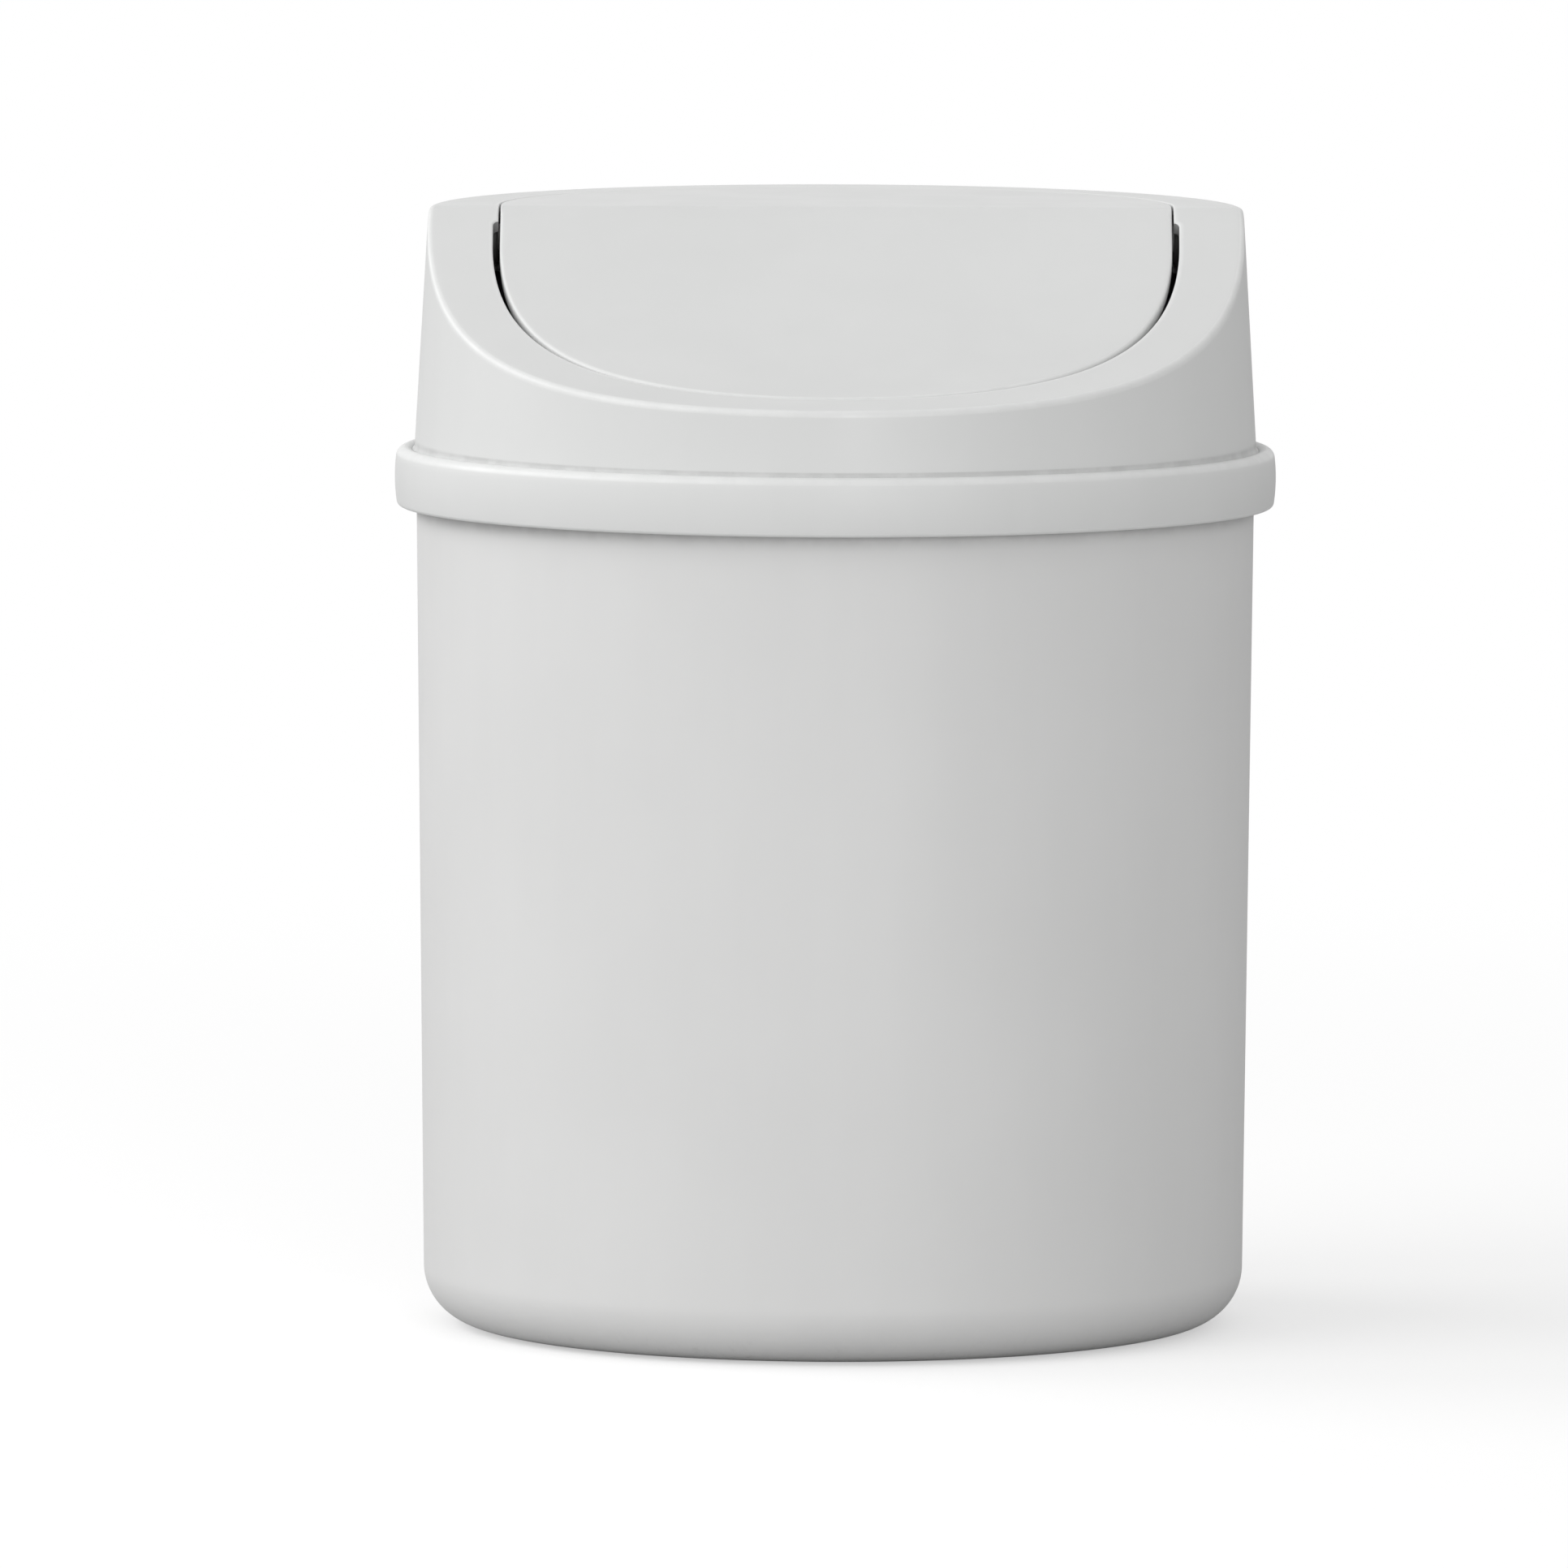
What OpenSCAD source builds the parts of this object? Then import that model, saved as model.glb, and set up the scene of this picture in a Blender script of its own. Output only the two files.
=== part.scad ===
// Round countertop bin with a lift-off cover and a swing flap.
// The origin is the middle of the foot, +Z is up, and the low front of the cover faces -Y.

/* [Overall] */
// Height from the table to the flat rear deck of the cover
total_h = 165; // [150:1:200]

/* [Bucket] */
// Outside diameter of the bucket wall just under the skirt
bucket_d = 123.6; // [120:0.1:132]
// How much smaller the radius is at the foot than under the skirt
bucket_draft = 1.2; // [0:0.1:3]
// Thickness of the bucket wall
bucket_wall = 1.8; // [1.4:0.1:2.4]
// Thickness of the bucket floor
floor_t = 2; // [1.4:0.1:4]
// Radius of the rounded corner at the foot
foot_corner_r = 8.5; // [5:0.5:14]
// Width of the flat ring that the bucket stands on
foot_ring_w = 5; // [3:0.5:10]
// Height of the shallow recess inside the foot ring
foot_recess_h = 1.2; // [0.6:0.1:3]
// How far the bead at the rim stands out from the wall
rim_bead = 0.85; // [0.4:0.05:1]
// Height of the bead at the rim
rim_bead_h = 3.4; // [2.5:0.1:4.5]

/* [Cover] */
// Height of the cover from the lower edge of the skirt to the deck
cover_h = 43.9; // [40:0.1:55]
// Height of the skirt band
skirt_h = 8.6; // [7:0.1:10]
// Thickness of the skirt
skirt_wall = 2; // [1.6:0.1:2.6]
// Gap between the rim bead of the bucket and the inside of the skirt
skirt_gap = 0.35; // [0.3:0.05:0.6]
// How far the middle of the skirt's face bulges
skirt_crown = 0.35; // [0.2:0.05:0.5]
// Radius of the skirt's round top edge
skirt_edge_r = 1.4; // [0.8:0.1:2]
// Radius of the skirt's lower edge
skirt_foot_r = 0.7; // [0.4:0.1:1.2]
// Depth of the crease behind the skirt's round top edge
crease_d = 0.4; // [0.1:0.05:0.6]
// How far the foot of the hood's wall turns out to the crease
flare_run = 0.4; // [0.3:0.05:1.5]
// Angle by which the foot of the hood's wall turns out in degrees
flare_turn = 50; // [30:1:80]
// How much smaller the radius of the hood is at the deck than above the skirt
hood_draft = 2; // [0.5:0.1:4]
// Thickness of the hood's wall
hood_wall = 1.8; // [1.4:0.1:2.2]
// Thickness of the hood's top, measured straight down
deck_t = 1.8; // [1.4:0.1:2.4]
// Thickness of the shelf that rests on the bucket's rim
shelf_t = 1.8; // [1.4:0.1:2.2]
// Gap left between the bucket's rim and the shelf
seat_gap = 0.05; // [0:0.05:0.2]

/* [Scooped front] */
// How far the front lip lies below the deck
lip_drop = 25.9; // [20:0.1:28]
// Slope of the scoop at the front lip in degrees
lip_slope = 5.6; // [2:0.1:12]
// Slope of the scoop where it meets the round ridge in degrees
ridge_slope = 38.6; // [30:0.1:48]
// Length of the curve's handle at the lip
lip_pull = 26.4; // [18:0.1:32]
// Length of the curve's handle at the ridge
ridge_pull = 17.5; // [10:0.1:22]
// Radius of the round ridge between the scoop and the deck
ridge_r = 7; // [4:0.5:10]
// How far behind the middle line the ridge ends
ridge_back = 3; // [1:0.1:5]

/* [Flap] */
// How much the flap's straight sides take off its round outline, on each side
side_trim = 2.9; // [1.5:0.1:5]
// How much smaller the radius of the flap's corners is than the radius of its round ends
corner_less = 7.4; // [5:0.2:25]
// Width of the fixed rim between the hood's outer edge at the deck and the flap's round ends
rim_w = 7.7; // [7:0.1:12]
// Thickness of the flap, measured straight down
flap_t = 1.8; // [1.4:0.1:2.2]
// Width of the open slits at the sides of the front half
slit_w = 1.1; // [0.8:0.1:1.6]
// How far in front of the middle line the slits end
slit_start = 1.8; // [0:0.1:3]
// Gap in front of the flap, at the lip
front_gap = 0.6; // [0.4:0.1:1]
// Gap round the rear half of the flap
rear_gap = 0.3; // [0.3:0.05:0.6]

/* [Pivot] */
// How far behind the middle line the pivot lies
pivot_y = 4.5; // [4.5:0.1:7]
// How far the pivot lies below the deck
pivot_drop = 4.8; // [4.6:0.1:7]
// Radius of the pivot stubs
stub_r = 2; // [1.5:0.1:2.4]
// Running clearance round a pivot stub
stub_clear = 0.06; // [0.03:0.01:0.09]
// Length of a pivot stub outside the flap
stub_l = 3.6; // [3:0.1:4.2]
// Gap between the flap's side and the cheek that carries the stub
cheek_gap = 0.4; // [0.3:0.05:0.6]
// Thickness of the cheek
cheek_t = 3.6; // [3:0.1:4.2]
// Radius of the cheek and of the flap's ear round the pivot
cheek_r = 4; // [3.4:0.1:4.2]
// Thickness of the flap's ear
ear_t = 3; // [2:0.1:4]
// Angle at which the toe of the ear meets its stop
open_angle = 75; // [60:1:85]
// How far the toe of the ear reaches below the pivot
toe_r = 5.4; // [5.2:0.1:6.5]
// Width of the toe and of its stop
toe_w = 2.2; // [1.6:0.1:3]
// Gap left between the toe and its stop when the flap is fully open
stop_gap = 0.05; // [0.02:0.01:0.2]

/* [Rest ledge] */
// Width of the ledge that the rear half of the flap rests on
ledge_w = 3.2; // [2:0.1:4]
// Thickness of the ledge
ledge_t = 1.6; // [1.2:0.1:2.4]
// Gap left between the flap and its ledge
ledge_gap = 0.15; // [0.1:0.05:0.3]

/* [Counterweight] */
// Length of the steel strip
weight_l = 46; // [30:1:50]
// Width of the steel strip
weight_w = 10; // [6:0.5:11]
// Thickness of the steel strip
weight_t = 3; // [2:0.1:4]
// How far the strip's centre line lies in front of the flap's rear edge
weight_inset = 21.4; // [20.4:0.2:26]
// Gap between the strip and its pocket
pocket_gap = 0.1; // [0.05:0.05:0.3]
// Thickness of the pocket's walls
pocket_wall = 1.4; // [1:0.1:2]
// Thickness of the cap that closes the pocket
cap_t = 1.2; // [1:0.1:2]
// Radius of the two studs that hold the cap
stud_r = 1.2; // [1:0.1:1.4]
// Clearance round a stud
stud_clear = 0.05; // [0.03:0.01:0.08]

/* [Hidden] */
$fn = 96;
// Facets round the large turned shapes, round the flap's outline and round small bosses
large_fn = 240;
plan_fn = 180;
small_fn = 48;
// A small amount by which joined shapes run into each other and cutters run past
eps = 0.01;
run_on = 1;
// The flap's corner circle is this much larger, so it crosses the sides and ends
// at a small angle where it would only touch them
corner_over = 0.01;
// Points along the scoop, the ridge, a small arc, half of the crowned face and the flare
scoop_steps = 30;
ridge_steps = 8;
arc_steps = 8;
crown_steps = 6;
flare_steps = 6;
// Thickness of the beam and of the ribs that stiffen the pivot
rib_t = 1.6;
beam_below_pivot = 1;
rib_h = 5.5;
// How far the ledge's root runs under the deck
ledge_root = 1.6;
// Small bevels on the bucket's rim and foot
rim_bevel = 0.5;

// Radii
bucket_r = bucket_d / 2;
foot_r = bucket_r - bucket_draft;
rim_r = bucket_r + rim_bead;
skirt_in_r = rim_r + skirt_gap;
skirt_r = skirt_in_r + skirt_wall;

// Heights
deck_z = total_h;
skirt_z = deck_z - cover_h;
band_z = skirt_z + skirt_h;
shelf_z = band_z - shelf_t;
bucket_h = shelf_z - seat_gap;
pivot_z = deck_z - pivot_drop;

// The skirt's crowned face is one large arc, and its edges are small arcs tangent to it
crown_half = skirt_h / 2;
crown_r = (crown_half * crown_half + skirt_crown * skirt_crown) / (2 * skirt_crown);
crown_z = skirt_z + crown_half;
edge_angle = edge_turn(skirt_edge_r);
edge_centre_r = edge_centre(skirt_edge_r);
foot_angle = edge_turn(skirt_foot_r);
foot_centre_r = edge_centre(skirt_foot_r);

// The skirt's top edge rolls over into the crease, where the foot of the hood's wall lies
crease_turn = acos(1 - crease_d / skirt_edge_r);
hood_r = edge_centre_r - skirt_edge_r * sin(crease_turn) - flare_run;
deck_r = hood_r - hood_draft;
flare_r = flare_run / (1 - cos(flare_turn));
flare_z = band_z - crease_d + flare_r * sin(flare_turn);

// Flap and mouth
flap_r = deck_r - rim_w;
flap_half = flap_r - side_trim;
plan_corner_r = flap_r - corner_less;
corner_x = flap_half - plan_corner_r;
corner_y = sqrt(corner_less * corner_less - corner_x * corner_x);
corner_angle = atan2(corner_y, corner_x);
ledge_z = deck_z - flap_t - ledge_gap;
stop_y = pivot_y + toe_r * sin(open_angle) + stop_gap;
stub_hole_r = stub_r + stub_clear;
cheek_x = flap_half + cheek_gap;

// Counterweight and its pocket
weight_y = flap_r - weight_inset;
pocket_l = weight_l + 2 * pocket_gap;
pocket_w = weight_w + 2 * pocket_gap;
pocket_h = weight_t + pocket_gap;
pocket_z = deck_z - flap_t - pocket_h;
stud_hole_r = stud_r + stud_clear;
stud_boss_r = stud_hole_r + pocket_wall;
stud_x = pocket_l / 2 + stud_boss_r;

// Where an edge of the given radius meets the crowned face, and how far out its centre lies
function edge_turn(r) = asin((crown_half - r) / (crown_r - r));
function edge_centre(r) = skirt_r - crown_r + (crown_r - r) * cos(edge_turn(r));

function arc_points(cx, cy, r, from, to, steps) = [
    for (i = [0 : steps])
        let (a = from + (to - from) * i / steps)
        [cx + r * cos(a), cy + r * sin(a)]
];

function without_first(points) = [for (i = [1 : len(points) - 1]) points[i]];

function bezier(p, q, r, s, t) =
    pow(1 - t, 3) * p + 3 * t * pow(1 - t, 2) * q + 3 * t * t * (1 - t) * r + t * t * t * s;

// The hood's top in side view: scoop, round ridge and flat deck, as points of y and z
lip_point = [-hood_r, deck_z - lip_drop];
ridge_point = [ridge_back - ridge_r * sin(ridge_slope), deck_z - ridge_r * (1 - cos(ridge_slope))];
lip_handle = lip_point + lip_pull * [cos(lip_slope), sin(lip_slope)];
ridge_handle = ridge_point - ridge_pull * [cos(ridge_slope), sin(ridge_slope)];
top_line = concat(
    [[-skirt_r - run_on, lip_point[1] - (skirt_r + run_on - hood_r) * tan(lip_slope)]],
    [for (i = [0 : scoop_steps - 1])
        bezier(lip_point, lip_handle, ridge_handle, ridge_point, i / scoop_steps)],
    arc_points(ridge_back, deck_z - ridge_r, ridge_r, 90 + ridge_slope, 90, ridge_steps),
    [[skirt_r + run_on, deck_z]]
);

// The solid between the top line and the same line moved down
module top_layer(thickness, half_l) {
    lowered = [for (i = [len(top_line) - 1 : -1 : 0]) top_line[i] - [0, thickness]];
    rotate([90, 0, 90])
        linear_extrude(2 * half_l, center = true)
            polygon(concat(top_line, lowered));
}

// All that lies under the top line
module below_top() {
    rotate([90, 0, 90])
        linear_extrude(2 * (skirt_r + run_on), center = true)
            polygon(concat(
                [[-skirt_r - run_on, skirt_z - run_on]],
                top_line,
                [[skirt_r + run_on, skirt_z - run_on]]
            ));
}

// The flap's outline in plan, grown all round by a gap
module plan(grow) {
    r = flap_r + grow;
    half_w = flap_half + grow;
    wedge = [[0, 0], [2 * r, 0], 2 * r * [cos(corner_angle), sin(corner_angle)]];
    difference() {
        intersection() {
            circle(r = r, $fn = plan_fn);
            square([2 * half_w, 2 * r + run_on], center = true);
        }
        for (across = [0, 1], along = [0, 1])
            mirror([across, 0])
                mirror([0, along])
                    translate([corner_x, corner_y])
                        difference() {
                            polygon(wedge);
                            circle(r = plan_corner_r + grow + corner_over, $fn = plan_fn);
                        }
    }
}

module rear_side(from_y) {
    translate([-skirt_r, from_y])
        square([2 * skirt_r, 2 * skirt_r]);
}

// The mouth in plan: in front of the middle line a slit that narrows towards the lip,
// and behind it a close seam
module mouth_plan() {
    slit_end_r = slit_w / 2;
    slit_end_y = -slit_start - slit_end_r;
    difference() {
        translate([0, slit_w - front_gap])
            plan(slit_w);
        rear_side(slit_end_y);
    }
    for (side = [-1, 1])
        translate([side * (flap_half + slit_end_r), slit_end_y])
            circle(r = slit_end_r, $fn = small_fn);
    plan(rear_gap);
}

module hood_outside() {
    rotate_extrude($fn = large_fn)
        polygon(concat(
            [[0, skirt_z]],
            arc_points(foot_centre_r, skirt_z + skirt_foot_r, skirt_foot_r, -90, -foot_angle, arc_steps),
            arc_points(skirt_r - crown_r, crown_z, crown_r, -foot_angle, 0, crown_steps),
            without_first(arc_points(skirt_r - crown_r, crown_z, crown_r, 0, edge_angle, crown_steps)),
            arc_points(edge_centre_r, band_z - skirt_edge_r, skirt_edge_r,
                edge_angle, 90 + crease_turn, 2 * arc_steps),
            without_first(arc_points(hood_r + flare_r, flare_z, flare_r,
                180 + flare_turn, 180, flare_steps)),
            [[deck_r, deck_z], [0, deck_z]]
        ));
}

module hood_inside() {
    rotate_extrude($fn = large_fn)
        polygon([
            [0, skirt_z - run_on],
            [skirt_in_r, skirt_z - run_on],
            [skirt_in_r, shelf_z],
            [hood_r - hood_wall, shelf_z],
            [hood_r - hood_wall, flare_z],
            [deck_r - hood_wall, deck_z],
            [deck_r - hood_wall, deck_z + run_on],
            [0, deck_z + run_on]
        ]);
}

// A round boss on the pivot line that rises to the underside of what carries it
module pivot_boss(x, thickness, top_z) {
    translate([x, pivot_y, pivot_z])
        rotate([0, 90, 0])
            cylinder(r = cheek_r, h = thickness);
    translate([x, pivot_y - cheek_r, pivot_z])
        cube([thickness, 2 * cheek_r, top_z - pivot_z]);
}

// The ledge under the rear half of the flap, with its root under the deck
module rest_ledge() {
    intersection() {
        difference() {
            translate([0, 0, ledge_z - ledge_t])
                linear_extrude(deck_z - deck_t + eps - ledge_z + ledge_t)
                    plan(rear_gap + ledge_root);
            translate([0, 0, ledge_z])
                linear_extrude(flap_t + run_on)
                    plan(rear_gap);
            translate([0, 0, ledge_z - ledge_t - run_on])
                linear_extrude(ledge_t + 2 * run_on)
                    plan(-ledge_w);
        }
        translate([0, 0, ledge_z - ledge_t - run_on])
            linear_extrude(deck_z)
                rear_side(stop_y);
    }
}

// The cheek with its rib to the wall, and the stop that the toe of the ear meets
module pivot_cheek() {
    pivot_boss(cheek_x, cheek_t, deck_z - deck_t + eps);
    translate([cheek_x + cheek_t - eps, pivot_y - rib_t / 2, deck_z - deck_t - rib_h])
        cube([deck_r - hood_wall / 2 - cheek_x - cheek_t, rib_t, rib_h + eps]);
    translate([flap_half - ear_t, stop_y, pivot_z - toe_r])
        cube([cheek_gap + ear_t + cheek_t, toe_w, ledge_z - pivot_z + toe_r]);
    translate([cheek_x, pivot_y, pivot_z - cheek_r])
        cube([cheek_t, stop_y + toe_w - pivot_y, deck_z - deck_t - pivot_z + cheek_r + eps]);
}

module lid_cover() {
    color("#d5d6d4")
        difference() {
            union() {
                intersection() {
                    difference() {
                        hood_outside();
                        hood_inside();
                    }
                    below_top();
                }
                difference() {
                    intersection() {
                        hood_outside();
                        top_layer(deck_t, skirt_r + run_on);
                    }
                    translate([0, 0, skirt_z])
                        linear_extrude(cover_h + run_on)
                            mouth_plan();
                }
                rest_ledge();
                for (side = [0, 1])
                    mirror([side, 0, 0])
                        pivot_cheek();
            }
            translate([0, pivot_y, pivot_z])
                rotate([0, 90, 0])
                    cylinder(r = stub_hole_r, h = 2 * (cheek_x + cheek_t + eps), center = true);
        }
}

// An ear of the flap with its toe and its pivot stub
module flap_ear() {
    ear_x = flap_half - ear_t;
    pivot_boss(ear_x, ear_t, deck_z - flap_t + eps);
    translate([ear_x, pivot_y - toe_w, pivot_z - toe_r])
        cube([ear_t, toe_w, toe_r]);
    translate([ear_x + ear_t / 2, pivot_y, pivot_z])
        rotate([0, 90, 0])
            cylinder(r = stub_r, h = ear_t / 2 + stub_l);
}

module pocket_outline(l, w) {
    square([l, w], center = true);
    for (side = [-1, 1])
        translate([side * stud_x, 0])
            circle(r = stud_boss_r, $fn = small_fn);
}

module weight_pocket() {
    translate([0, weight_y, pocket_z])
        linear_extrude(pocket_h + eps)
            pocket_outline(pocket_l + 2 * pocket_wall, pocket_w + 2 * pocket_wall);
}

module swing_flap() {
    beam_z = pivot_z - beam_below_pivot;
    beam_half = flap_half - ear_t + eps;
    color("#dadcdb")
        difference() {
            union() {
                intersection() {
                    top_layer(flap_t, flap_half + run_on);
                    translate([0, 0, skirt_z])
                        linear_extrude(cover_h + run_on)
                            plan(0);
                }
                for (side = [0, 1])
                    mirror([side, 0, 0])
                        flap_ear();
                translate([-beam_half, pivot_y - rib_t / 2, beam_z])
                    cube([2 * beam_half, rib_t, deck_z - flap_t + eps - beam_z]);
                weight_pocket();
            }
            translate([-pocket_l / 2, weight_y - pocket_w / 2, pocket_z - run_on])
                cube([pocket_l, pocket_w, pocket_h + run_on]);
            for (side = [-1, 1])
                translate([side * stud_x, weight_y, pocket_z - run_on])
                    cylinder(r = stud_hole_r, h = pocket_h + run_on, $fn = small_fn);
        }
}

module counterweight() {
    color("#8f9296")
        translate([-weight_l / 2, weight_y - weight_w / 2, pocket_z])
            cube([weight_l, weight_w, weight_t]);
}

module counterweight_cap() {
    color("#d5d6d4") {
        translate([0, weight_y, pocket_z - cap_t])
            linear_extrude(cap_t)
                pocket_outline(pocket_l + 2 * pocket_wall, pocket_w + 2 * pocket_wall);
        for (side = [-1, 1])
            translate([side * stud_x, weight_y, pocket_z - eps])
                cylinder(r = stud_r, h = pocket_h - pocket_gap, $fn = small_fn);
    }
}

// One closed profile: foot ring, rounded corner, wall, rim bead, inside and floor
module bucket() {
    floor_z = foot_recess_h + floor_t;
    foot_out_r = foot_r - foot_corner_r;
    inner_corner_r = max(foot_corner_r - bucket_wall, 1);
    inner_foot_r = foot_r - bucket_wall;
    bead_z = bucket_h - rim_bead_h;
    color("#cfcfcd")
        rotate_extrude($fn = large_fn)
            polygon(concat(
                [[0, foot_recess_h]],
                [[foot_out_r - foot_ring_w - foot_recess_h, foot_recess_h]],
                [[foot_out_r - foot_ring_w, 0]],
                arc_points(foot_out_r, foot_corner_r, foot_corner_r, -90, 0, 2 * arc_steps),
                [
                    [bucket_r, bead_z - rim_bead],
                    [rim_r, bead_z],
                    [rim_r, bucket_h - rim_bevel],
                    [rim_r - rim_bevel, bucket_h],
                    [bucket_r - bucket_wall, bucket_h]
                ],
                arc_points(inner_foot_r - inner_corner_r, floor_z + inner_corner_r, inner_corner_r,
                    0, -90, 2 * arc_steps),
                [[0, floor_z]]
            ));
}

bucket();
lid_cover();
swing_flap();
counterweight();
counterweight_cap();
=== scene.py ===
# %% [markdown]
# # A small countertop bin with a swing flap
# The bin has five parts: a round bucket, a cover that lifts off, a flap that swings in the
# cover, a steel strip that makes the flap fall shut, and a cap that holds the strip.
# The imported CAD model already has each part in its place. This lesson models the three
# large parts again with soft edges and even, smooth meshes, gives the two small ones
# the same care, and finishes all five as satin moulded plastic and bright steel.

# %% The frame that everything is built around
import functools
import math

import bmesh
import bpy
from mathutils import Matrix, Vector
from mathutils.geometry import interpolate_bezier


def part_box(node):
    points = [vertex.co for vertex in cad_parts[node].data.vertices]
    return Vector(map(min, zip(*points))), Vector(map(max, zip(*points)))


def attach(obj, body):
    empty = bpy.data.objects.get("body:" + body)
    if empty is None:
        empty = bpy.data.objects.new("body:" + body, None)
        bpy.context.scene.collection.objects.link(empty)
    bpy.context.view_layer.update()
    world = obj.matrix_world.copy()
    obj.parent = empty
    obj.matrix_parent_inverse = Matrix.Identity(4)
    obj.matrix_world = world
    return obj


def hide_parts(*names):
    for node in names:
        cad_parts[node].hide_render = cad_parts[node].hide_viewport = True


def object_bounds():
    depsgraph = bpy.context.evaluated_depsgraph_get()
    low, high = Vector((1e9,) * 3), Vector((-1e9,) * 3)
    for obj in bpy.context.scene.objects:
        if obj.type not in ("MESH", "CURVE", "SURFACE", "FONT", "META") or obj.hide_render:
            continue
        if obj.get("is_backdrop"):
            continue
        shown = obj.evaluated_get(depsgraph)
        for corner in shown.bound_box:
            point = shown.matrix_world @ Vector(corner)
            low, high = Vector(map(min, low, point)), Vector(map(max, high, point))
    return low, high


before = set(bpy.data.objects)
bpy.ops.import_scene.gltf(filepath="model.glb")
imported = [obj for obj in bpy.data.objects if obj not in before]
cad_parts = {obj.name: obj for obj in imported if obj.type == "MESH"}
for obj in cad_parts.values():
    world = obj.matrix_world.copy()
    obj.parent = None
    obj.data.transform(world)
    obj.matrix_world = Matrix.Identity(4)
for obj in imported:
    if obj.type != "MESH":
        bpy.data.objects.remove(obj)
cad_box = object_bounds()
scene = bpy.context.scene
scene.view_settings.view_transform = "Standard"

# %% [markdown]
# ## The camera
# The picture was taken with a long lens from a little above the bin: its sides look
# almost parallel, and the top is seen at a low angle. So the camera stands 2.8 m away
# and looks down by about five degrees. No lens shift is needed.

# %% Camera
PICTURE_SIDE_PX = 1932
FOCAL_PX = 23431.4
SENSOR_MM = 36.0
CAMERA_PLACE = (-0.000523, -2.8, 0.330486)
CAMERA_DOWN_DEG = 5.119
CAMERA_YAW_DEG = -0.156
CAMERA_ROLL_DEG = 0.160

camera_data = bpy.data.cameras.new("studio_camera")
camera_data.sensor_width = SENSOR_MM
camera_data.lens = FOCAL_PX / PICTURE_SIDE_PX * SENSOR_MM
camera_data.clip_start = 0.01
camera_data.clip_end = 200
camera = bpy.data.objects.new("studio_camera", camera_data)
camera.location = CAMERA_PLACE
camera.rotation_euler = (
    math.radians(90 - CAMERA_DOWN_DEG),
    math.radians(-CAMERA_ROLL_DEG),
    math.radians(-CAMERA_YAW_DEG),
)
scene.collection.objects.link(camera)
scene.camera = camera
print("lens", round(camera_data.lens, 1), "mm")

# %% [markdown]
# ## Sizes
# The sizes are those of the CAD model, in millimetres. They are written once here, and
# the helpers below turn them into metres only where a vertex gets its place. The heights
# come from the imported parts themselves, so the pieces stay where the frame says.

# %% Sizes that several pieces share
MM = 0.001

cover_low, cover_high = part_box("lid_cover")
DECK_Z = cover_high.z / MM
SKIRT_Z = cover_low.z / MM
BUCKET_TOP_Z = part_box("bucket")[1].z / MM

SKIRT_R = 65.0
SKIRT_WALL = 2.0
SKIRT_H = 8.6
BAND_Z = SKIRT_Z + SKIRT_H
HOOD_R = 62.07
DECK_R = 60.07
HOOD_WALL = 1.8
DECK_T = 1.8
FLAP_T = 1.8
FLAP_R = 52.37
FLAP_HALF = 49.47
CORNER_R = 44.97
PIVOT_Y = 4.5
PIVOT_Z = DECK_Z - 4.8
print("deck", round(DECK_Z, 2), "skirt", round(SKIRT_Z, 2), "bucket", round(BUCKET_TOP_Z, 2))

# %% [markdown]
# ## Rims carried through rings
# Every moulded wall here is a closed band that goes round an axis: up a wall, over a soft
# edge, along a face. A lathe would do for the bucket, but the cover's edge rises and falls
# along the scoop. So one rim of edges is started from a circle and then extruded
# through a list of rings. Each vertex keeps its own angle, its "turn", and a ring says where
# a vertex of that angle goes. The mesh stays an even grid, which shades smoothly.

# %% Helpers that start a rim and carry it on
def turn_layer(bm):
    layers = bm.verts.layers.float
    return layers.get("turn") or layers.new("turn")


# This layer holds a number for each vertex: above zero a painted highlight and a smoother skin,
# below zero painted shade and a rougher skin.
def light_and_wear_layer(bm):
    layers = bm.verts.layers.float
    return layers.get("light_and_wear") or layers.new("light_and_wear")


def start_rim(bm, turns, ring):
    """A closed loop of edges with one vertex for each turn."""
    light_and_wear_layer(bm)
    layer = turn_layer(bm)
    made = bmesh.ops.create_circle(bm, segments=len(turns), radius=1)["verts"]
    for vert, turn in zip(made, turns):
        vert[layer] = turn
        vert.co = ring(turn)
    return list({edge for vert in made for edge in vert.link_edges})


def start_chain(bm, turns, ring):
    """An open chain of edges with one vertex for each turn."""
    light_and_wear_layer(bm)
    layer = turn_layer(bm)
    vert = bmesh.ops.create_vert(bm, co=ring(turns[0]))["vert"][0]
    vert[layer] = turns[0]
    edges = []
    for turn in turns[1:]:
        made = bmesh.ops.extrude_vert_indiv(bm, verts=[vert])
        vert = made["verts"][0]
        vert[layer] = turn
        vert.co = ring(turn)
        edges += made["edges"]
    return edges


def carry(bm, edges, rings, light_and_wear=0.0):
    """Extrudes a rim through the rings in turn, and returns the edges of the last one."""
    layer = turn_layer(bm)
    light_and_wear_slot = light_and_wear_layer(bm)
    for ring in rings:
        made = bmesh.ops.extrude_edge_only(bm, edges=edges)["geom"]
        edges = [item for item in made if isinstance(item, bmesh.types.BMEdge)]
        for vert in {vert for edge in edges for vert in edge.verts}:
            vert.co = ring(vert[layer])
            # Each vertex takes the ring's painted highlight or painted shade.
            vert[light_and_wear_slot] = light_and_wear
    return edges


def rounded(before, corner, after, steps):
    """Rings that round off a corner between a ring before it and a ring after it."""
    def at(share):
        return lambda turn: (
            before(turn) * (1 - share) ** 2
            + corner(turn) * 2 * share * (1 - share)
            + after(turn) * share ** 2
        )
    return [at(step / steps) for step in range(1, steps)]


def constant(value):
    """A radius that is the same at every turn."""
    return lambda turn: value
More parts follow.
